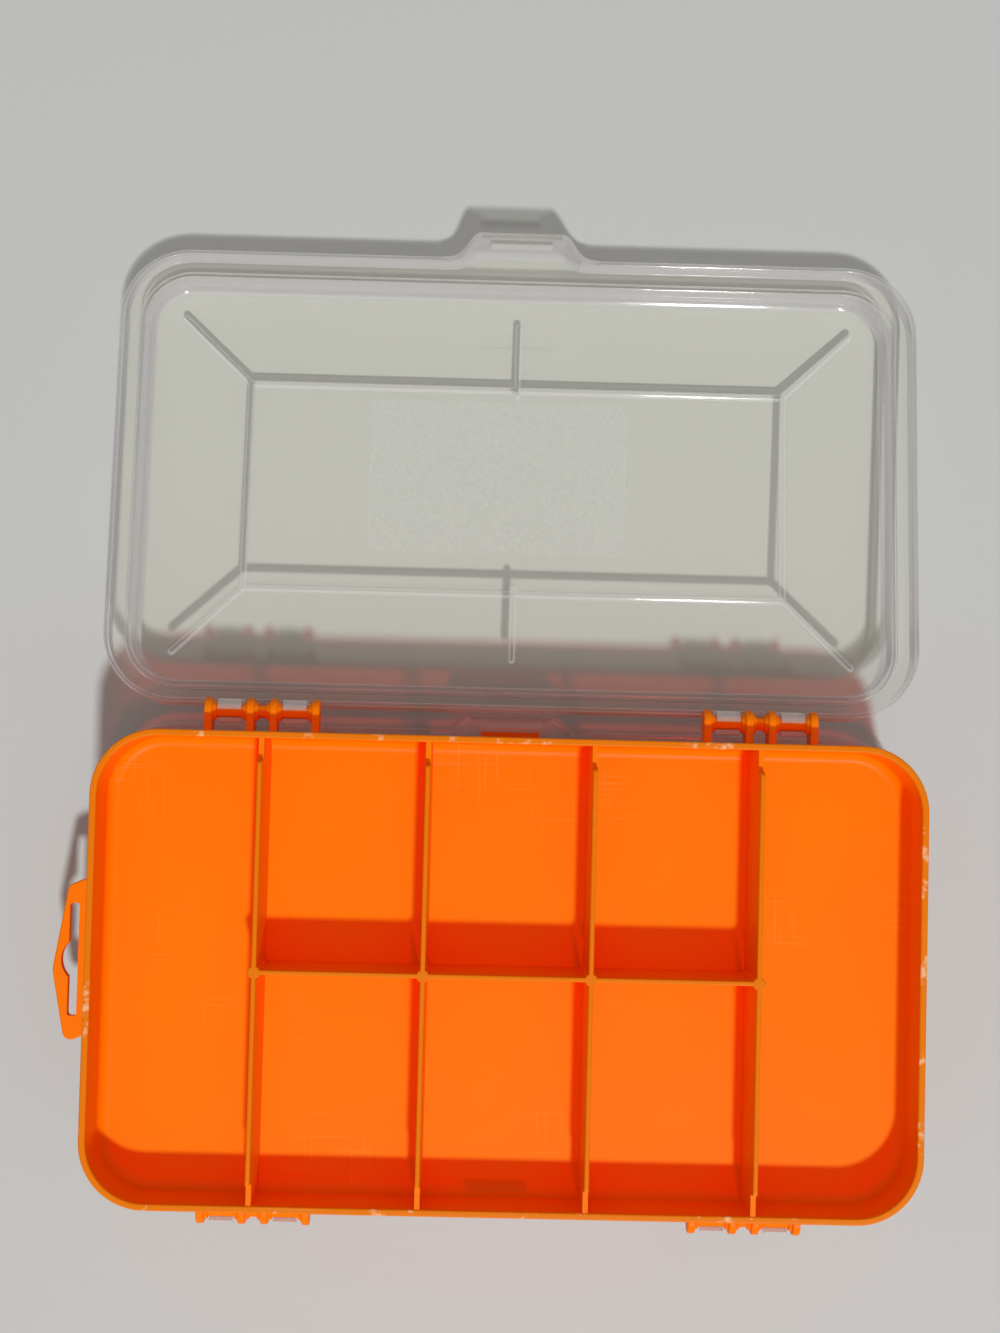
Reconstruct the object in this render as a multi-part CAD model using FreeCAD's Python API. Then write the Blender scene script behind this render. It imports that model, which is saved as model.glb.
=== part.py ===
import FreeCAD, Part
import math
import os

# Double-sided storage box, in millimetres. A tray with compartments on both faces carries two clear lids.
# The origin is on the table under the middle of the closed box, +X to the right, +Y to the upper lid's
# hinges, +Z up. The lower half of the tray is the upper half turned about the X axis, and so is the lid.
# The upper lid lies open, the lower lid is closed.

# The closed box, over both lids
box_length = 160.0
box_depth = 92.0
box_height = 44.0

# How a lid fits over the tray
skirt_wall = 1.0
lid_gap = 0.45
seat_gap = 0.2

# Tray
tray_wall = 1.3
tray_corner_radius = 12.5
floor_thickness = 1.5
floor_fillet = 2.2
rim_drop = 8.0
rim_round = 0.35

# Dividers
end_compartment = 30.45
divider_count = 4
divider_top = 0.9
divider_root = 1.4
divider_rise = 2.5
divider_step_length = 4.2
divider_step_drop = 0.25
divider_round = 0.3
step_round = 0.8
post_diameter = 2.4

# Hinges: four ears with one moulded pin through them, twice on each long side
hinge_inset = 32.4
hinge_back_gap = 3.75
hinge_drop = 17.0
pin_diameter = 2.5
pin_clearance = 0.08
ear_radius = 2.6
ear_thickness = 1.5
ear_inner_spacing = 4.4
ear_outer_spacing = 20.4
ear_round = 0.35
collar_diameter = 4.0
collar_tip_diameter = 3.2
collar_length = 0.7
clip_wall = 1.0
clip_side_gap = 0.3
clip_arm = 1.6
clip_mouth = 1.9

# Catches in the middle of the long sides
catch_width = 11.6
catch_reach = 1.1
catch_height = 2.2
catch_tip = 0.6
catch_lip = 0.2
catch_drop = 15.3

# Hang tab on the left side
hang_thickness = 2.0
hang_width = 30.2
hang_lean_share = 0.42
hang_corner_reach = 5.7
hang_tip_reach = 8.4
hang_corner_round = 1.6
hang_tip_round = 6.0
hang_edge_round = 0.4
slot_length = 21.6
slot_width = 1.8
slot_inset = 3.5
slot_bump_width = 8.0
slot_bump_reach = 1.4
slot_round = 0.6

# Lid
lid_depth = 11.0
panel_wall = 1.2
dome_wall = 1.3
dome_inset = 3.5
dome_round = 2.5
groove_depth = 1.6
shoulder_wall = 1.0
shoulder_round = 0.8
edge_round = 0.3
rib_width = 1.5
rib_height = 0.9
rib_round = 0.6
rib_end_share = 0.98
rib_frame_length = 108.6
rib_frame_depth = 42.4
rib_corner_length = 136.0
rib_corner_depth = 69.2
rib_middle_overlap = 1.2
insert_width = 14.4
insert_height = 0.15
insert_reach = 16.7

# Latch tab on the front of the lid
latch_root_width = 25.6
latch_tip_width = 18.2
latch_reach = 2.6
latch_wall = 1.2
latch_length = 18.0
latch_round = 2.6
latch_flare = 3.0
latch_flare_round = 5.0
hook_width = 12.2
hook_height = 1.8
hook_gap = 0.25
hook_rise = 0.6

# How far the open lid stays off the table, how far cuts run past what they cut, and when two points are one
table_gap = 0.05
overrun = 1.0
same_point = 1e-5

# Places that follow from the sizes
middle_z = box_height / 2
rim_z = box_height - rim_drop
tray_height = 2 * (rim_z - middle_z)
lid_corner_radius = tray_corner_radius + lid_gap + skirt_wall
tray_inset = skirt_wall + lid_gap
tray_half_x = box_length / 2 - tray_inset
tray_half_y = box_depth / 2 - tray_inset
inner_half_x = tray_half_x - tray_wall
inner_half_y = tray_half_y - tray_wall
floor_z = middle_z + floor_thickness / 2
divider_z = rim_z + divider_rise
divider_pitch = 2 * (inner_half_x - end_compartment) / (divider_count - 1)
hinge_x = box_length / 2 - hinge_inset
hinge_y = tray_half_y + hinge_back_gap
hinge_z = box_height - hinge_drop
skirt_z = box_height - lid_depth
lip_z = rim_z + seat_gap
groove_z = lip_z + groove_depth
shoulder_z = groove_z + shoulder_wall
panel_z = box_height - panel_wall
latch_z = box_height - latch_length

x_axis = FreeCAD.Vector(1, 0, 0)
y_axis = FreeCAD.Vector(0, 1, 0)
z_axis = FreeCAD.Vector(0, 0, 1)


def flat_xy(z):
    return lambda u, v: FreeCAD.Vector(u, v, z)


def flat_yz(x):
    return lambda u, v: FreeCAD.Vector(x, u, v)


def flat_xz(y):
    return lambda u, v: FreeCAD.Vector(u, y, v)


def outline(corners, place):
    """A closed face from (u, v, radius) corners, with tangent arcs where the radius is not zero."""
    points = [FreeCAD.Vector(u, v, 0) for u, v, radius in corners]
    stops = []
    for index, (u, v, radius) in enumerate(corners):
        here = points[index]
        back = (points[index - 1] - here).normalize()
        ahead = (points[(index + 1) % len(points)] - here).normalize()
        half = back.getAngle(ahead) / 2
        run = radius / math.tan(half)
        middle = here + (back + ahead).normalize() * (radius / math.sin(half) - radius) if radius else here
        stops.append((here + back * run, middle, here + ahead * run, radius))
    edges = []
    for index, (start, middle, end, radius) in enumerate(stops):
        before = stops[index - 1][2]
        if (start - before).Length > same_point:
            edges.append(Part.makeLine(place(before.x, before.y), place(start.x, start.y)))
        if radius:
            arc = Part.Arc(place(start.x, start.y), place(middle.x, middle.y), place(end.x, end.y))
            edges.append(arc.toShape())
    return Part.Face(Part.Wire(edges))


def rounded_block(half_x, half_y, radius, low_z, high_z):
    corners = [(x * half_x, y * half_y, radius) for x, y in ((-1, -1), (1, -1), (1, 1), (-1, 1))]
    return outline(corners, flat_xy(low_z)).extrude(z_axis * (high_z - low_z))


def box_between(low, high):
    size = high - low
    return Part.makeBox(size.x, size.y, size.z, low)


def rod_along_x(radius, low_x, high_x, y, z):
    return Part.makeCylinder(radius, high_x - low_x, FreeCAD.Vector(low_x, y, z), x_axis)


def edges_at_height(shape, z):
    return [edge for edge in shape.Edges if all(abs(vertex.Z - z) < same_point for vertex in edge.Vertexes)]


def joined(shapes):
    return shapes[0].multiFuse(shapes[1:]).removeSplitter()


def turned_over(shape):
    copy = shape.copy()
    copy.rotate(FreeCAD.Vector(0, 0, middle_z), x_axis, 180)
    return copy


def save(name, shape):
    solid = shape.Solids[0]
    print(name, len(shape.Solids), "solid", shape.isValid(), round(solid.Volume, 1))
    solid.exportStep(os.path.join("parts", name + ".step"))


def tray_shell():
    """Wall all round with the floor at mid height, open on both faces."""
    shell = rounded_block(tray_half_x, tray_half_y, tray_corner_radius, rim_z - tray_height, rim_z)
    inner_radius = tray_corner_radius - tray_wall
    hollow = rounded_block(inner_half_x, inner_half_y, inner_radius, floor_z, rim_z + overrun)
    hollow = hollow.makeFillet(floor_fillet, edges_at_height(hollow, floor_z))
    shell = shell.cut(hollow).cut(turned_over(hollow))
    rims = edges_at_height(shell, rim_z) + edges_at_height(shell, rim_z - tray_height)
    return shell.makeFillet(rim_round, rims)


def wall_section(place, root, top, low_z, high_z):
    """Face of a drafted wall: wider at the root, rounded on top."""
    return outline([(-root / 2, low_z, 0), (root / 2, low_z, 0),
                    (top / 2, high_z, divider_round), (-top / 2, high_z, divider_round)], place)


def divider(x, shell):
    """Wall from front to back with lowered ends and a round post in its middle."""
    step_y = inner_half_y - divider_step_length
    step_z = rim_z - divider_step_drop
    side = outline([(-inner_half_y, middle_z, 0), (inner_half_y, middle_z, 0), (inner_half_y, step_z, 0),
                    (step_y, step_z, step_round), (step_y, divider_z, step_round),
                    (-step_y, divider_z, step_round), (-step_y, step_z, step_round),
                    (-inner_half_y, step_z, 0)], flat_yz(-divider_root))
    side = side.extrude(x_axis * 2 * divider_root)
    section = wall_section(flat_xz(-tray_half_y), divider_root, divider_top, middle_z, divider_z)
    wall = section.extrude(y_axis * 2 * tray_half_y).common(side)
    post = Part.makeCylinder(post_diameter / 2, divider_z - middle_z, FreeCAD.Vector(0, 0, middle_z), z_axis)
    post = post.makeFillet(divider_round, edges_at_height(post, divider_z))
    wall = joined([wall, post])
    wall.translate(x_axis * x)
    return wall.cut(shell)


def cross_divider(left_x, right_x, shell, neighbours):
    """Wall between two dividers, halfway from front to back."""
    section = wall_section(flat_yz(left_x), divider_root, divider_top, middle_z, divider_z)
    wall = section.extrude(x_axis * (right_x - left_x)).cut(shell)
    for neighbour in neighbours:
        wall = wall.cut(neighbour)
    return max(wall.Solids, key=lambda solid: solid.Volume)


def ear(x):
    """Rounded plate that stands off the back wall and holds the pin."""
    tip_y = hinge_y + ear_radius
    low_z, high_z = hinge_z - ear_radius, hinge_z + ear_radius
    plate = outline([(tray_half_y, low_z, 0), (tip_y, low_z, ear_radius), (tip_y, high_z, ear_radius),
                     (tray_half_y, high_z, 0)], flat_yz(x - ear_thickness / 2))
    plate = plate.extrude(x_axis * ear_thickness)
    rim = [edge for edge in plate.Edges
           if edge.CenterOfMass.y > tray_half_y + same_point
           and abs(edge.CenterOfMass.x - x) > ear_thickness / 2 - same_point]
    return plate.makeFillet(min(ear_round, ear_thickness / 3), rim)


def collar(x, facing):
    """Short cone that stands on an ear and keeps the clip beside it centred on the pin."""
    foot = FreeCAD.Vector(x, hinge_y, hinge_z)
    return Part.makeCone(collar_diameter / 2, collar_tip_diameter / 2, collar_length, foot, x_axis * facing)


def hinge(x):
    """Four ears, the pin through them, and a collar on each ear face that looks at another ear."""
    reach = ear_outer_spacing / 2
    pieces = [rod_along_x(pin_diameter / 2, x - reach, x + reach, hinge_y, hinge_z)]
    for side in (-1, 1):
        inner_x = x + side * ear_inner_spacing / 2
        outer_x = x + side * reach
        pieces += [ear(inner_x), ear(outer_x), collar(outer_x - side * ear_thickness / 2, -side)]
        pieces += [collar(inner_x + facing * ear_thickness / 2, facing) for facing in (-1, 1)]
    return joined(pieces)


def catch():
    """Ridge on the front wall that the upper lid's hook holds on to."""
    low_z = box_height - catch_drop
    wall_y = -tray_half_y
    tip_y = wall_y - catch_reach
    tip_z = low_z + catch_lip
    ridge = outline([(wall_y, low_z, 0), (tip_y, tip_z, 0), (tip_y, tip_z + catch_tip, 0),
                     (wall_y, low_z + catch_height, 0)], flat_yz(-catch_width / 2))
    return ridge.extrude(x_axis * catch_width)


def hang_tab():
    """Flat tab at mid height on the left wall, leaning to the front, with a long slot that bulges outward."""
    low_z = middle_z - hang_thickness / 2
    root_x = -tray_half_x
    corner_x = root_x - hang_corner_reach
    tip_x = root_x - hang_tip_reach
    slot_in_x = root_x - slot_inset
    slot_out_x = slot_in_x - slot_width
    half = hang_width / 2

    def corner(x, y, radius):
        return (x, y + hang_lean_share * (x - slot_in_x), radius)

    plate = outline([corner(root_x, -half, 0), corner(root_x, half, 0),
                     corner(corner_x, half, hang_corner_round), corner(tip_x, 0, hang_tip_round),
                     corner(corner_x, -half, hang_corner_round)], flat_xy(low_z))
    plate = plate.extrude(z_axis * hang_thickness)
    outer = [edge for z in (low_z, low_z + hang_thickness) for edge in edges_at_height(plate, z)
             if edge.CenterOfMass.x < root_x - same_point]
    plate = plate.makeFillet(min(hang_edge_round, hang_thickness / 3), outer)
    cut_z = low_z - overrun
    end = slot_length / 2
    slot = outline([(slot_in_x, -end, slot_round), (slot_in_x, end, slot_round),
                    (slot_out_x, end, slot_round), (slot_out_x, -end, slot_round)], flat_xy(cut_z))
    bump_x = slot_in_x - slot_width / 2
    bump_half = slot_bump_width / 2
    bump_arc = Part.Arc(FreeCAD.Vector(bump_x, bump_half, cut_z),
                        FreeCAD.Vector(slot_out_x - slot_bump_reach, 0, cut_z),
                        FreeCAD.Vector(bump_x, -bump_half, cut_z)).toShape()
    bump_line = Part.makeLine(bump_arc.Vertexes[-1].Point, bump_arc.Vertexes[0].Point)
    bump = Part.Face(Part.Wire([bump_arc, bump_line]))
    through = z_axis * (hang_thickness + 2 * overrun)
    return plate.cut(slot.extrude(through)).cut(bump.extrude(through))


def lid_block(inset, low_z, high_z):
    half_x, half_y = box_length / 2 - inset, box_depth / 2 - inset
    return rounded_block(half_x, half_y, lid_corner_radius - inset, low_z, high_z)


def lid_shell():
    """Flat dome on a shoulder; outside the shoulder a skirt, inside it a lip that stops above the rim."""
    skirt = lid_block(0, skirt_z, shoulder_z)
    skirt = skirt.makeFillet(shoulder_round, edges_at_height(skirt, shoulder_z))
    skirt = skirt.cut(lid_block(skirt_wall, skirt_z - overrun, groove_z))
    skirt = skirt.makeFillet(edge_round, edges_at_height(skirt, skirt_z))
    dome = lid_block(dome_inset, lip_z, box_height)
    dome = dome.makeFillet(dome_round, edges_at_height(dome, box_height))
    hollow_inset = dome_inset + dome_wall
    hollow = lid_block(hollow_inset, lip_z - overrun, panel_z)
    hollow = hollow.makeFillet(max(dome_round - panel_wall, edge_round), edges_at_height(hollow, panel_z))
    shell = joined([skirt, dome]).cut(hollow)
    return shell.makeFillet(edge_round, edges_at_height(shell, lip_z))


def rib(start, end):
    """Ridge with round ends on the inside of the panel."""
    length = (end - start).Length
    half = rib_width / 2
    round_end = half * rib_end_share
    bar = outline([(-half, -half, round_end), (length + half, -half, round_end),
                   (length + half, half, round_end), (-half, half, round_end)], flat_xy(0))
    bar = bar.extrude(z_axis * (rib_height + panel_wall / 2))
    bar = bar.makeFillet(rib_round, edges_at_height(bar, 0))
    direction = end - start
    bar.rotate(FreeCAD.Vector(), z_axis, math.degrees(math.atan2(direction.y, direction.x)))
    bar.translate(start + z_axis * (panel_z - rib_height))
    return bar


def lid_ribs():
    """A rib frame with a rib out to each corner, and one in the middle of each long side."""
    frame_x, frame_y = rib_frame_length / 2, rib_frame_depth / 2
    corner_x, corner_y = rib_corner_length / 2, rib_corner_depth / 2
    ribs = []
    for side in (-1, 1):
        ribs.append(rib(FreeCAD.Vector(-frame_x, side * frame_y), FreeCAD.Vector(frame_x, side * frame_y)))
        ribs.append(rib(FreeCAD.Vector(side * frame_x, -frame_y), FreeCAD.Vector(side * frame_x, frame_y)))
        ribs.append(rib(FreeCAD.Vector(0, side * (frame_y - rib_middle_overlap)),
                        FreeCAD.Vector(0, side * corner_y)))
        for end in (-1, 1):
            ribs.append(rib(FreeCAD.Vector(side * frame_x, end * frame_y),
                            FreeCAD.Vector(side * corner_x, end * corner_y)))
    return ribs


def latch_tab():
    """Tongue on the skirt's front; its sides and its free edge run out at both ends into the skirt."""
    face_y = -box_depth / 2
    back_y = face_y + skirt_wall
    tip_y = face_y - latch_reach
    tip = latch_tip_width / 2
    root = latch_root_width / 2
    end = root + latch_flare
    plan = outline([(-end, back_y, 0), (-end, face_y, 0), (-root, face_y, latch_flare_round),
                    (-tip, tip_y, latch_round), (tip, tip_y, latch_round), (root, face_y, latch_flare_round),
                    (end, face_y, 0), (end, back_y, 0)], flat_xy(latch_z))
    tab = plan.extrude(z_axis * (shoulder_z - latch_z))
    top = [edge for edge in edges_at_height(tab, shoulder_z) if edge.CenterOfMass.y < face_y + same_point]
    tab = tab.makeFillet(shoulder_round, top)
    front = outline([(-end, shoulder_z, 0), (-end, skirt_z, 0), (-root, skirt_z, latch_flare_round),
                     (-tip, latch_z, latch_round), (tip, latch_z, latch_round),
                     (root, skirt_z, latch_flare_round), (end, skirt_z, 0), (end, shoulder_z, 0)],
                    flat_xz(tip_y - overrun))
    return tab.common(front.extrude(y_axis * (back_y - tip_y + 2 * overrun)))


def latch_hollow():
    """Space inside the tongue, a wall's thickness from its outside, open to the tray."""
    tip_y = -box_depth / 2 - latch_reach + latch_wall
    back_y = -box_depth / 2 + skirt_wall + lid_gap / 2
    run = (latch_root_width - latch_tip_width) / 2
    tip = latch_tip_width / 2 - latch_wall * (math.hypot(run, latch_reach) - run) / latch_reach
    root = tip + (back_y - tip_y) * run / latch_reach
    radius = max(latch_round - latch_wall, edge_round)
    low_z = latch_z - overrun
    plan = outline([(-root, back_y, 0), (-tip, tip_y, radius), (tip, tip_y, radius), (root, back_y, 0)],
                   flat_xy(low_z))
    return plan.extrude(z_axis * (groove_z - low_z))


def latch_hook():
    front_y = -box_depth / 2 - latch_reach + latch_wall / 2
    back_y = -tray_half_y - catch_reach - hook_gap
    low_z = latch_z + hook_rise
    tread = outline([(front_y, low_z, 0), (back_y - hook_rise, low_z, 0), (back_y, low_z + hook_rise, 0),
                     (back_y, low_z + hook_height, 0), (front_y, low_z + hook_height, 0)],
                    flat_yz(-hook_width / 2))
    return tread.extrude(x_axis * hook_width)


def hinge_clip(low_x, high_x):
    """Ring that snaps over the pin, on an arm from the skirt's edge."""
    ring_radius = pin_diameter / 2 + pin_clearance + clip_wall
    ring = rod_along_x(ring_radius, low_x, high_x, hinge_y, hinge_z)
    top = FreeCAD.Vector(low_x, box_depth / 2 - skirt_wall / 2, skirt_z + skirt_wall)
    axis = FreeCAD.Vector(low_x, hinge_y, hinge_z)
    along = (top - axis).normalize()
    across = x_axis.cross(along) * (clip_arm / 2)
    corners = [axis - across, axis + across, top + across, top - across]
    arm = Part.Face(Part.makePolygon(corners + corners[:1])).extrude(x_axis * (high_x - low_x))
    inside = lid_block(skirt_wall, hinge_z, groove_z)
    clip = joined([ring, arm.cut(inside)])
    bore = rod_along_x(pin_diameter / 2 + pin_clearance, low_x - overrun, high_x + overrun, hinge_y, hinge_z)
    side = x_axis.cross(along) * (clip_mouth / 2)
    out = along * -(ring_radius + overrun)
    corners = [axis - side, axis + side, axis + side + out, axis - side + out]
    mouth = Part.Face(Part.makePolygon(corners + corners[:1]))
    mouth = mouth.extrude(x_axis * (high_x - low_x + 2 * overrun))
    mouth.translate(x_axis * -overrun)
    return clip.cut(bore).cut(mouth)


def lid():
    """The whole lid as one moulding, closed on the upper face of the tray."""
    pieces = [lid_shell(), latch_tab()]
    insert_y = -box_depth / 2 + dome_inset + dome_wall + max(dome_round - panel_wall, edge_round)
    insert_end = -box_depth / 2 + insert_reach
    insert = box_between(FreeCAD.Vector(-insert_width / 2, insert_y, panel_z - insert_height),
                         FreeCAD.Vector(insert_width / 2, insert_end, panel_z + insert_height))
    body = joined(pieces).cut(latch_hollow())
    inner = (ear_inner_spacing + ear_thickness) / 2 + collar_length + clip_side_gap
    outer = (ear_outer_spacing - ear_thickness) / 2 - collar_length - clip_side_gap
    clips = [hinge_clip(centre + low, centre + high)
             for centre in (-hinge_x, hinge_x)
             for low, high in ((-outer, -inner), (inner, outer))]
    return joined([body, latch_hook(), insert] + lid_ribs() + clips)


def open_angle():
    """Turn that lays the far edge of the open lid on the table."""
    edge_y = -box_depth / 2 + dome_inset + dome_round - hinge_y
    edge_z = box_height - dome_round - hinge_z
    reach = math.hypot(edge_y, edge_z)
    lean = math.atan2(edge_z, -edge_y)
    drop = hinge_z - dome_round - table_gap
    return 180 + math.degrees(math.asin(drop / reach) - lean)


os.makedirs("parts", exist_ok=True)

shell = tray_shell()
save("tray_shell", shell)

divider_places = [divider_pitch * (index - (divider_count - 1) / 2) for index in range(divider_count)]
dividers = [divider(x, shell) for x in divider_places]
for number, wall in enumerate(dividers, 1):
    save("upper_divider_%d" % number, wall)
    save("lower_divider_%d" % number, turned_over(wall))
for number in range(1, divider_count):
    left_x, right_x = divider_places[number - 1:number + 1]
    wall = cross_divider(left_x, right_x, shell, dividers[number - 1:number + 1])
    save("upper_cross_divider_%d" % number, wall)
    save("lower_cross_divider_%d" % number, turned_over(wall))

for side, x in (("left", -hinge_x), ("right", hinge_x)):
    pair = hinge(x)
    save("upper_%s_hinge" % side, pair)
    save("lower_%s_hinge" % side, turned_over(pair))

save("upper_catch", catch())
save("lower_catch", turned_over(catch()))
save("hang_tab", hang_tab())

closed_lid = lid()
save("lower_lid", turned_over(closed_lid))
upper_lid = closed_lid.copy()
upper_lid.rotate(FreeCAD.Vector(0, hinge_y, hinge_z), x_axis, -open_angle())
save("upper_lid", upper_lid)
print("open angle", round(open_angle(), 3), "hinge", hinge_y, hinge_z)
print("lowest point of the open lid", round(upper_lid.BoundBox.ZMin, 3))
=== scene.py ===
import bpy
import bmesh
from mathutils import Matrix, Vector

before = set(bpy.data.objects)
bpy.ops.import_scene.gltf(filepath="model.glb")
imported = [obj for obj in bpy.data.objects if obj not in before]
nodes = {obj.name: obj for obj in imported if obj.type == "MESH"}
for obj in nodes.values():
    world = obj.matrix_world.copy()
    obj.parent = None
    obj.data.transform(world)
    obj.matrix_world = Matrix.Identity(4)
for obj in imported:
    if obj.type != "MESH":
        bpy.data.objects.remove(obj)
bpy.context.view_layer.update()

mm = 0.001
print("frame loaded:", len(nodes), "nodes")


def linearColour(hexText):
    channels = [int(hexText[i:i + 2], 16) / 255 for i in (1, 3, 5)]
    return [c / 12.92 if c <= 0.04045 else ((c + 0.055) / 1.055) ** 2.4 for c in channels] + [1.0]


def addNode(tree, kind, values=None, links=None, **settings):
    node = tree.nodes.new(kind)
    for name, setting in settings.items():
        setattr(node, name, setting)
    for key, value in (values or {}).items():
        node.inputs[key].default_value = value
    for key, socket in (links or {}).items():
        tree.links.new(socket, node.inputs[key])
    return node


def newMaterial(name):
    material = bpy.data.materials.new(name)
    material.use_nodes = True
    material.node_tree.nodes.clear()
    return material, material.node_tree


# both plastics let some lamp light through their thin walls, so their shadows are not black
def finishWithShadow(tree, plastic, letThrough):
    rays = addNode(tree, "ShaderNodeLightPath")
    mixed = addNode(tree, "ShaderNodeMixShader",
                    links={0: rays.outputs["Is Shadow Ray"], 1: plastic.outputs[0], 2: letThrough.outputs[0]})
    addNode(tree, "ShaderNodeOutputMaterial", links={"Surface": mixed.outputs[0]})


# moulded polypropylene, coloured through: warm, a little waxy
orangeLook = {
    "plastic": "#FF8200",
    "deep": "#FF7600",             # slow drift of the tone over the mouldings
    "driftMm": 40,
    "edge": "#EC7A08",             # painted light: rims and wall tops take the tone of light let out through the thin edge
    "edgeBandMm": 0.5,
    "midHeight": 22,               # the tray is alike above and below this height in mm
    "scratch": "#FFA64A",
    "scratchWideMm": 0.35,
    "scratchLongMm": 14,
    "scratchShare": (0.66, 0.76),  # higher values leave fewer scratches
    "scratchStrength": 0.22,
    "scratchDull": 0.12,           # added roughness
    "wornMm": 24,                  # size of the places that are scratched
    "wornShare": (0.58, 0.72),
    "scuffAndSheen": "#FFD9A8",           # scuffed rim, with painted sheen where the rim catches the light
    "scuffAndSheenMm": 9,
    "scuffAndSheenShare": (0.58, 0.64),
    "scuffAndSheenStrength": 0.55,
    "grainMm": 0.6,                # spark-eroded mould skin; the real grain of 0.2 mm is drawn coarser
    "grainDeepMm": 0.02,
    "grainStrength": 0.25,
    "roughness": (0.29, 0.42),     # around 0.34, drifting with the tone
    "ior": 1.49,
    "specular": 0.07,
    "glow": "#D0601A",             # red light that one face of a wall lets through
    "glowEnd": "#8E4420",          # less gets through the end wall with the hang tab
    "endMm": (-72, -78),           # where that wall begins, and where it is reached
}


def orangePolypropylene(name, edgeHeight, scuffAndSheenRim):
    look = orangeLook
    material, tree = newMaterial(name)
    place = addNode(tree, "ShaderNodeTexCoord").outputs["Object"]
    axes = addNode(tree, "ShaderNodeSeparateXYZ", links={0: place})

    drift = addNode(tree, "ShaderNodeTexNoise", {"Scale": 1 / (look["driftMm"] * mm), "Detail": 2},
                    {"Vector": place})
    tone = addNode(tree, "ShaderNodeMix",
                   {6: linearColour(look["plastic"]), 7: linearColour(look["deep"])},
                   {0: drift.outputs["Fac"]}, data_type="RGBA")

    # wall tops: a band just under the edge height, measured up and down from the middle, painted with the
    # light let out through the thin edge
    fromMiddle = addNode(tree, "ShaderNodeMath", {1: look["midHeight"] * mm}, {0: axes.outputs["Z"]},
                         operation="SUBTRACT")
    height = addNode(tree, "ShaderNodeMath", links={0: fromMiddle.outputs[0]}, operation="ABSOLUTE")
    top = (edgeHeight - look["midHeight"]) * mm
    band = addNode(tree, "ShaderNodeMapRange", {1: top - look["edgeBandMm"] * mm, 2: top},
                   {0: height.outputs[0]}, interpolation_type="SMOOTHSTEP")
    edgeLitTone = addNode(tree, "ShaderNodeMix", {7: linearColour(look["edge"])},
                    {0: band.outputs[0], 6: tone.outputs[2]}, data_type="RGBA")

    # fine scratches along and across, only in a few worn places
    worn = addNode(tree, "ShaderNodeTexNoise", {"Scale": 1 / (look["wornMm"] * mm), "Detail": 1},
                   {"Vector": place})
    few, many = look["wornShare"]
    wornArea = addNode(tree, "ShaderNodeMapRange", {1: few, 2: many}, {0: worn.outputs["Fac"]})
    few, many = look["scratchShare"]
    streaks = []
    for across in (0, 1):
        size = [look["scratchLongMm"] * mm] * 3
        size[across] = look["scratchWideMm"] * mm
        stretched = addNode(tree, "ShaderNodeMapping", {"Scale": [1 / s for s in size]}, {"Vector": place})
        lines = addNode(tree, "ShaderNodeTexNoise", {"Scale": 1, "Detail": 0},
                        {"Vector": stretched.outputs[0]})
        streaks.append(addNode(tree, "ShaderNodeMapRange", {1: few, 2: many}, {0: lines.outputs["Fac"]}))
    crossed = addNode(tree, "ShaderNodeMath", links={0: streaks[0].outputs[0], 1: streaks[1].outputs[0]},
                      operation="MAXIMUM")
    scratch = addNode(tree, "ShaderNodeMath", links={0: crossed.outputs[0], 1: wornArea.outputs[0]},
                      operation="MULTIPLY")
    scratchFaint = addNode(tree, "ShaderNodeMath", {1: look["scratchStrength"]}, {0: scratch.outputs[0]},
                           operation="MULTIPLY")
    scratched = addNode(tree, "ShaderNodeMix", {7: linearColour(look["scratch"])},
                        {0: scratchFaint.outputs[0], 6: edgeLitTone.outputs[2]}, data_type="RGBA")
    colour = scratched.outputs[2]

    if scuffAndSheenRim:  # whitened patches on the rim: partly scuffs, partly painted sheen where the rim catches the light
        scuffSheenNoise = addNode(tree, "ShaderNodeTexNoise",
                         {"Scale": 1 / (look["scuffAndSheenMm"] * mm), "Detail": 4, "Roughness": 0.7},
                         {"Vector": place})
        few, many = look["scuffAndSheenShare"]
        scuffSheenSpots = addNode(tree, "ShaderNodeMapRange", {1: few, 2: many}, {0: scuffSheenNoise.outputs["Fac"]})
        scuffAndSheen = addNode(tree, "ShaderNodeMath", links={0: scuffSheenSpots.outputs[0], 1: band.outputs[0]},
                         operation="MULTIPLY")
        scuffAndSheenFaint = addNode(tree, "ShaderNodeMath", {1: look["scuffAndSheenStrength"]}, {0: scuffAndSheen.outputs[0]},
                              operation="MULTIPLY")
        scuffSheenMixed = addNode(tree, "ShaderNodeMix", {7: linearColour(look["scuffAndSheen"])},
                           {0: scuffAndSheenFaint.outputs[0], 6: colour}, data_type="RGBA")
        colour = scuffSheenMixed.outputs[2]

    grain = addNode(tree, "ShaderNodeTexNoise", {"Scale": 1 / (look["grainMm"] * mm), "Detail": 2},
                    {"Vector": place})
    skin = addNode(tree, "ShaderNodeBump",
                   {"Strength": look["grainStrength"], "Distance": look["grainDeepMm"] * mm},
                   {"Height": grain.outputs["Fac"]})
    smooth, dull = look["roughness"]
    gloss = addNode(tree, "ShaderNodeMapRange", {3: smooth, 4: dull}, {0: drift.outputs["Fac"]})
    shine = addNode(tree, "ShaderNodeMath", {1: look["scratchDull"]},
                    {0: scratch.outputs[0], 2: gloss.outputs[0]}, operation="MULTIPLY_ADD")
    plastic = addNode(tree, "ShaderNodeBsdfPrincipled",
                      {"IOR": look["ior"], "Specular IOR Level": look["specular"]},
                      {"Base Color": colour, "Roughness": shine.outputs[0], "Normal": skin.outputs[0]})

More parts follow.
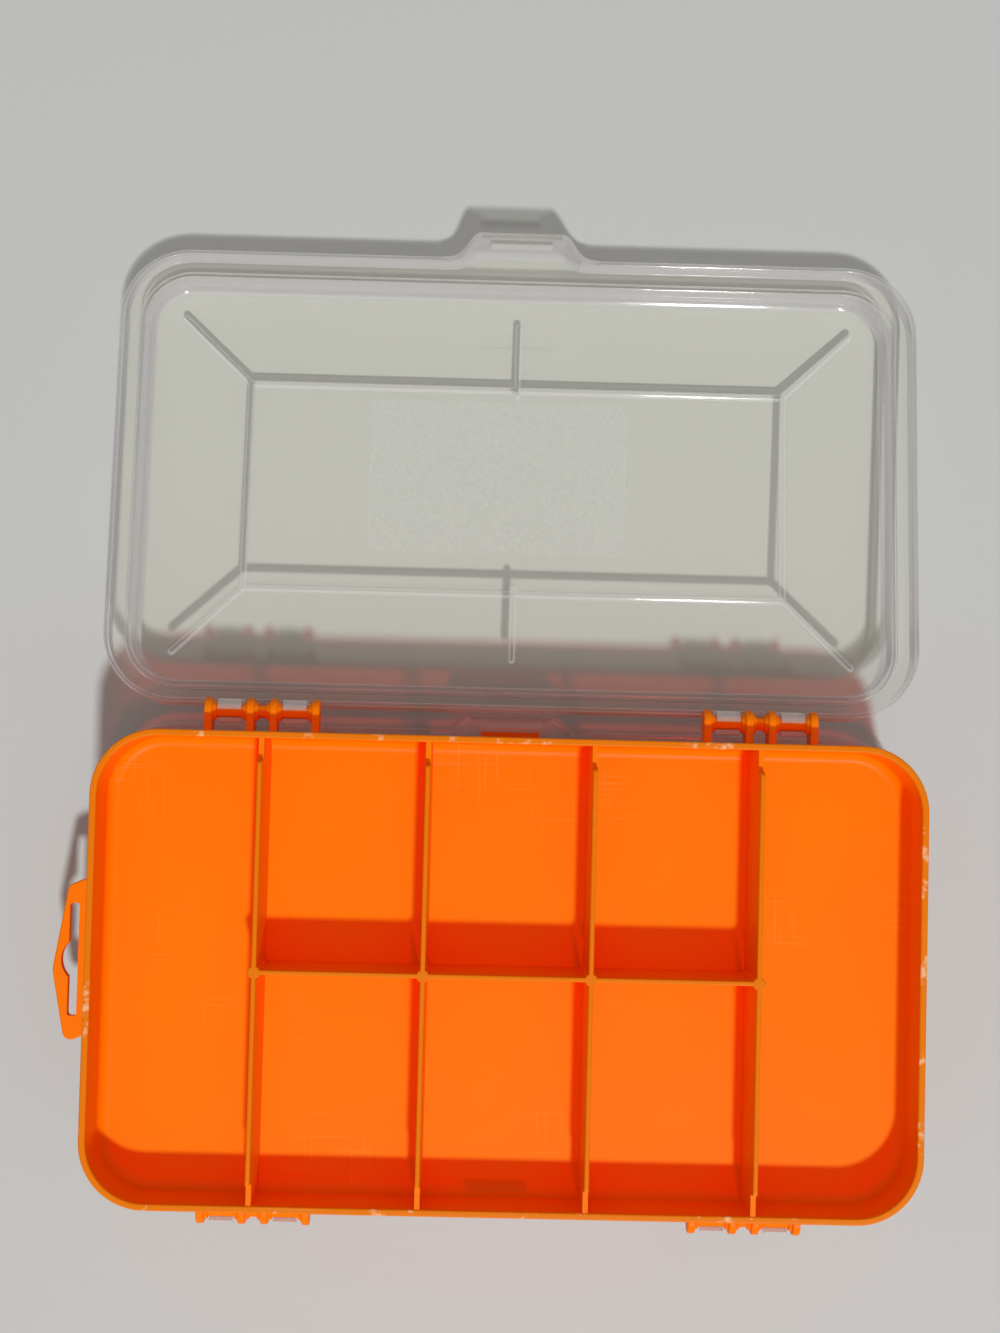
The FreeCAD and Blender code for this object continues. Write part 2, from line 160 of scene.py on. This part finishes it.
    begins, reached = look["endMm"]
    atEnd = addNode(tree, "ShaderNodeMapRange", {1: begins * mm, 2: reached * mm}, {0: axes.outputs["X"]})
    passed = addNode(tree, "ShaderNodeMix",
                     {6: linearColour(look["glow"]), 7: linearColour(look["glowEnd"])},
                     {0: atEnd.outputs[0]}, data_type="RGBA")
    glow = addNode(tree, "ShaderNodeBsdfTransparent", links={"Color": passed.outputs[2]})
    finishWithShadow(tree, plastic, glow)
    return material


# clear polypropylene: thin walls that hardly bend what lies behind them, milky where seen on edge
clearLook = {
    "body": "#F8F8F3",                 # what a wall lets through
    "onEdge": "#E9E8EE",               # a faint lavender in the thickness of its edges
    "clear": 0.96,                     # share of the light that passes square on, the rest is scattered
    "milky": 0.4,                      # and along a wall
    "grazing": (0.42, 0.82),           # how slanted the view is where that begins, and where it is full
    "turned": (0.998, 0.97),           # how level a face is where ribs and lips begin to curve, and beyond
    "ribHaze": 0.4,                    # how much of the milkiness shows there
    "shadow": "#FAFAF7",               # light left in the shadow of the flat panel
    "shadowRib": "#8A8B8C",            # and of its ribs, which send the light aside
    "shadowWall": "#B4B3B0",           # and of each face of the lip and skirt
    "panel": ((-70, -37), (70, 37)),   # corners of the flat with the ribs, in mm from the lid's middle
    "panelSoftMm": 2,
    "ribRiseMm": (0.2, 0.4),           # height over the panel where a rib begins to count, and where it does
    "pebbled": "#E6E7E4",              # painted shade in the hollows of the textured patch
    "patch": ((-30, -13), (23, 19)),   # corners of that patch, in mm from the lid's middle
    "patchSoftMm": 0.6,
    "patchLevel": 0.5,                 # it lies on level faces only
    "frost": 0.22,                     # how much less light passes between its grains
    "pebbleMm": 1.1,                   # size of the grains
    "pebbleDeepMm": 0.12,
    "pebbleStrength": 0.3,
    "pebbleSmooth": 0.6,
    "ior": 1.0,                        # no bending in so thin a wall; the coat gives the gloss
    "roughness": 0.05,
    "coatIor": 1.5,
}


# 1 inside a rectangle seen from above, fading to 0 over softMm at its border
def insideRectangle(tree, axes, corners, middleY, softMm):
    sides = []
    for axis, shift in ((0, 0), (1, middleY)):
        low = corners[0][axis] + shift
        high = corners[1][axis] + shift
        middle = (low + high) / 2
        half = (high - low) / 2
        away = addNode(tree, "ShaderNodeMath", {1: middle * mm}, {0: axes.outputs[axis]},
                       operation="SUBTRACT")
        reach = addNode(tree, "ShaderNodeMath", links={0: away.outputs[0]}, operation="ABSOLUTE")
        within = addNode(tree, "ShaderNodeMapRange", {1: half * mm, 2: (half - softMm) * mm},
                         {0: reach.outputs[0]})
        sides.append(within.outputs[0])
    both = addNode(tree, "ShaderNodeMath", links={0: sides[0], 1: sides[1]}, operation="MULTIPLY")
    return both.outputs[0]


def clearPolypropylene(name, lid):
    look = clearLook
    material, tree = newMaterial(name)
    coords = addNode(tree, "ShaderNodeTexCoord")
    place = coords.outputs["Object"]
    axes = addNode(tree, "ShaderNodeSeparateXYZ", links={0: place})
    facing = addNode(tree, "ShaderNodeVectorMath", {1: lid["up"]}, {0: coords.outputs["Normal"]},
                     operation="DOT_PRODUCT")
    levelness = addNode(tree, "ShaderNodeMath", links={0: facing.outputs["Value"]}, operation="ABSOLUTE")
    level = levelness.outputs[0]

    # the textured patch: a rectangle on the flat of the lid
    flat = addNode(tree, "ShaderNodeMath", {1: look["patchLevel"]}, {0: level}, operation="GREATER_THAN")
    patch = insideRectangle(tree, axes, look["patch"], lid["middleY"], look["patchSoftMm"])
    inside = addNode(tree, "ShaderNodeMath", links={0: flat.outputs[0], 1: patch}, operation="MULTIPLY")
    pebbles = addNode(tree, "ShaderNodeTexVoronoi",
                      {"Scale": 1 / (look["pebbleMm"] * mm), "Smoothness": look["pebbleSmooth"]},
                      {"Vector": place}, feature="SMOOTH_F1")
    pebbled = addNode(tree, "ShaderNodeMath",
                      links={0: pebbles.outputs["Distance"], 1: inside.outputs[0]}, operation="MULTIPLY")
    relief = addNode(tree, "ShaderNodeBump",
                     {"Strength": look["pebbleStrength"], "Distance": look["pebbleDeepMm"] * mm},
                     {"Height": pebbled.outputs[0]}, invert=True)

    # milkiness: walls seen along their length, and the curves of ribs and lips
    slant = addNode(tree, "ShaderNodeLayerWeight", {"Blend": 0.5})
    begins, full = look["grazing"]
    grazing = addNode(tree, "ShaderNodeMapRange", {1: begins, 2: full}, {0: slant.outputs["Facing"]})
    begins, full = look["turned"]
    turned = addNode(tree, "ShaderNodeMapRange", {1: begins, 2: full}, {0: level})
    rounded = addNode(tree, "ShaderNodeMath", {1: look["ribHaze"]}, {0: turned.outputs[0]},
                      operation="MULTIPLY")
    milkiness = addNode(tree, "ShaderNodeMath", links={0: grazing.outputs[0], 1: rounded.outputs[0]},
                        operation="MAXIMUM")
    onEdge = milkiness.outputs[0]
    tinted = addNode(tree, "ShaderNodeMix",
                     {6: linearColour(look["body"]), 7: linearColour(look["onEdge"])},
                     {0: onEdge}, data_type="RGBA")
    # the hollows of the textured patch get a painted shade
    grainShaded = addNode(tree, "ShaderNodeMix", {7: linearColour(look["pebbled"])},
                      {0: pebbled.outputs[0], 6: tinted.outputs[2]}, data_type="RGBA")
    passing = addNode(tree, "ShaderNodeMapRange", {3: look["clear"], 4: look["milky"]}, {0: onEdge})
    frosted = addNode(tree, "ShaderNodeMath", {1: -look["frost"]},
                      {0: pebbled.outputs[0], 2: passing.outputs[0]}, operation="MULTIPLY_ADD")
    plastic = addNode(tree, "ShaderNodeBsdfPrincipled",
                      {"IOR": look["ior"], "Roughness": look["roughness"], "Coat Weight": 1.0,
                       "Coat Roughness": look["roughness"], "Coat IOR": look["coatIor"]},
                      {"Base Color": grainShaded.outputs[2], "Transmission Weight": frosted.outputs[0],
                       "Normal": relief.outputs[0]})

    # shadow: the flat lets nearly all light through, ribs and walls send it aside
    onPanel = insideRectangle(tree, axes, look["panel"], lid["middleY"], look["panelSoftMm"])
    height = addNode(tree, "ShaderNodeVectorMath", {1: lid["up"]}, {0: place}, operation="DOT_PRODUCT")
    begins, full = look["ribRiseMm"]
    raised = addNode(tree, "ShaderNodeMapRange",
                     {1: (lid["panelMm"] + begins) * mm, 2: (lid["panelMm"] + full) * mm},
                     {0: height.outputs["Value"]})
    onRib = addNode(tree, "ShaderNodeMath", links={0: raised.outputs[0], 1: onPanel}, operation="MULTIPLY")
    aside = addNode(tree, "ShaderNodeMath", links={0: turned.outputs[0], 1: onRib.outputs[0]},
                    operation="MAXIMUM")
    scattered = addNode(tree, "ShaderNodeMix",
                        {6: linearColour(look["shadowWall"]), 7: linearColour(look["shadowRib"])},
                        {0: onPanel}, data_type="RGBA")
    dimmed = addNode(tree, "ShaderNodeMix", {6: linearColour(look["shadow"])},
                     {0: aside.outputs[0], 7: scattered.outputs[2]}, data_type="RGBA")
    letThrough = addNode(tree, "ShaderNodeBsdfTransparent", links={"Color": dimmed.outputs[2]})
    finishWithShadow(tree, plastic, letThrough)
    return material


def dress(name, material):
    slots = nodes[name].data.materials
    slots.clear()
    slots.append(material)


# top edge of each kind of orange moulding, in mm; the lugs have no edge band
edgeHeights = {"tray": 36, "divider": 38.5, "lug": 60}
trayPlastic = orangePolypropylene("tray orange PP", edgeHeights["tray"], True)
dividerPlastic = orangePolypropylene("divider orange PP", edgeHeights["divider"], False)
lugPlastic = orangePolypropylene("lug orange PP", edgeHeights["lug"], False)
for name in nodes:
    if "lid" in name:
        continue
    if "divider" in name:
        dress(name, dividerPlastic)
    elif name == "tray_shell":
        dress(name, trayPlastic)
    else:
        dress(name, lugPlastic)

# where each lid lies at rest: its middle, its own upward direction, and its panel's height along that
openLid = {"middleY": 94.4, "up": (0, 0.1132, 0.9936), "panelMm": 16.5}
closedLid = {"middleY": 0, "up": (0, 0, 1), "panelMm": 1.2}
dress("upper_lid", clearPolypropylene("open lid clear PP", openLid))
dress("lower_lid", clearPolypropylene("closed lid clear PP", closedLid))
print("plastics dressed")

# pale table top
table = {"size": 6.0, "drop": 0.0002, "colour": "#C4C5C4", "roughness": 0.6}
mesh = bpy.data.meshes.new("table")
sheet = bmesh.new()
bmesh.ops.create_grid(sheet, x_segments=1, y_segments=1, size=table["size"] / 2)
bmesh.ops.translate(sheet, verts=sheet.verts, vec=(0, 0, -table["drop"]))
sheet.to_mesh(mesh)
sheet.free()
floor = bpy.data.objects.new("table", mesh)
bpy.context.scene.collection.objects.link(floor)
laminate, tree = newMaterial("pale laminate")
top = addNode(tree, "ShaderNodeBsdfPrincipled",
              {"Base Color": linearColour(table["colour"]), "Roughness": table["roughness"]})
addNode(tree, "ShaderNodeOutputMaterial", links={"Surface": top.outputs[0]})
mesh.materials.append(laminate)

# light: one lamp far off to the front right, for shadows with a narrow soft border, and pale surroundings
lampKit = {
    "from": (0.70, -2.82, 5.2),
    "to": (0, 0.04, 0),
    "size": 0.4,
    "watts": 252,
    "sky": "#F8F5EF",
    "skyStrength": 0.33,
}
lampData = bpy.data.lights.new("window", "AREA")
lampData.shape = "DISK"
lampData.size = lampKit["size"]
lampData.energy = lampKit["watts"]
lamp = bpy.data.objects.new("window", lampData)
lamp.location = lampKit["from"]
lamp.rotation_euler = (Vector(lampKit["to"]) - lamp.location).to_track_quat("-Z", "Y").to_euler()
bpy.context.scene.collection.objects.link(lamp)
world = bpy.data.worlds.new("pale room")
world.use_nodes = True
world.node_tree.nodes.clear()
sky = addNode(world.node_tree, "ShaderNodeBackground",
              {"Color": linearColour(lampKit["sky"]), "Strength": lampKit["skyStrength"]})
addNode(world.node_tree, "ShaderNodeOutputWorld", links={"Surface": sky.outputs[0]})
bpy.context.scene.world = world
bpy.context.scene.view_settings.view_transform = "Standard"
print("table and light ready")

# the photograph looks almost straight down, over the gap between the tray and the open lid
shot = {
    "at": (-0.00864, 0.04195, 0.41049),
    "turn": (0.0417, -0.0170, 0.0248),
    "lens": 54.07,
    "sensor": 36,
    "nearest": 0.01,
}
cameraData = bpy.data.cameras.new("camera")
cameraData.lens = shot["lens"]
cameraData.sensor_width = shot["sensor"]
cameraData.clip_start = shot["nearest"]
camera = bpy.data.objects.new("camera", cameraData)
camera.location = shot["at"]
camera.rotation_euler = shot["turn"]
bpy.context.scene.collection.objects.link(camera)
bpy.context.scene.camera = camera

print("scene ready")
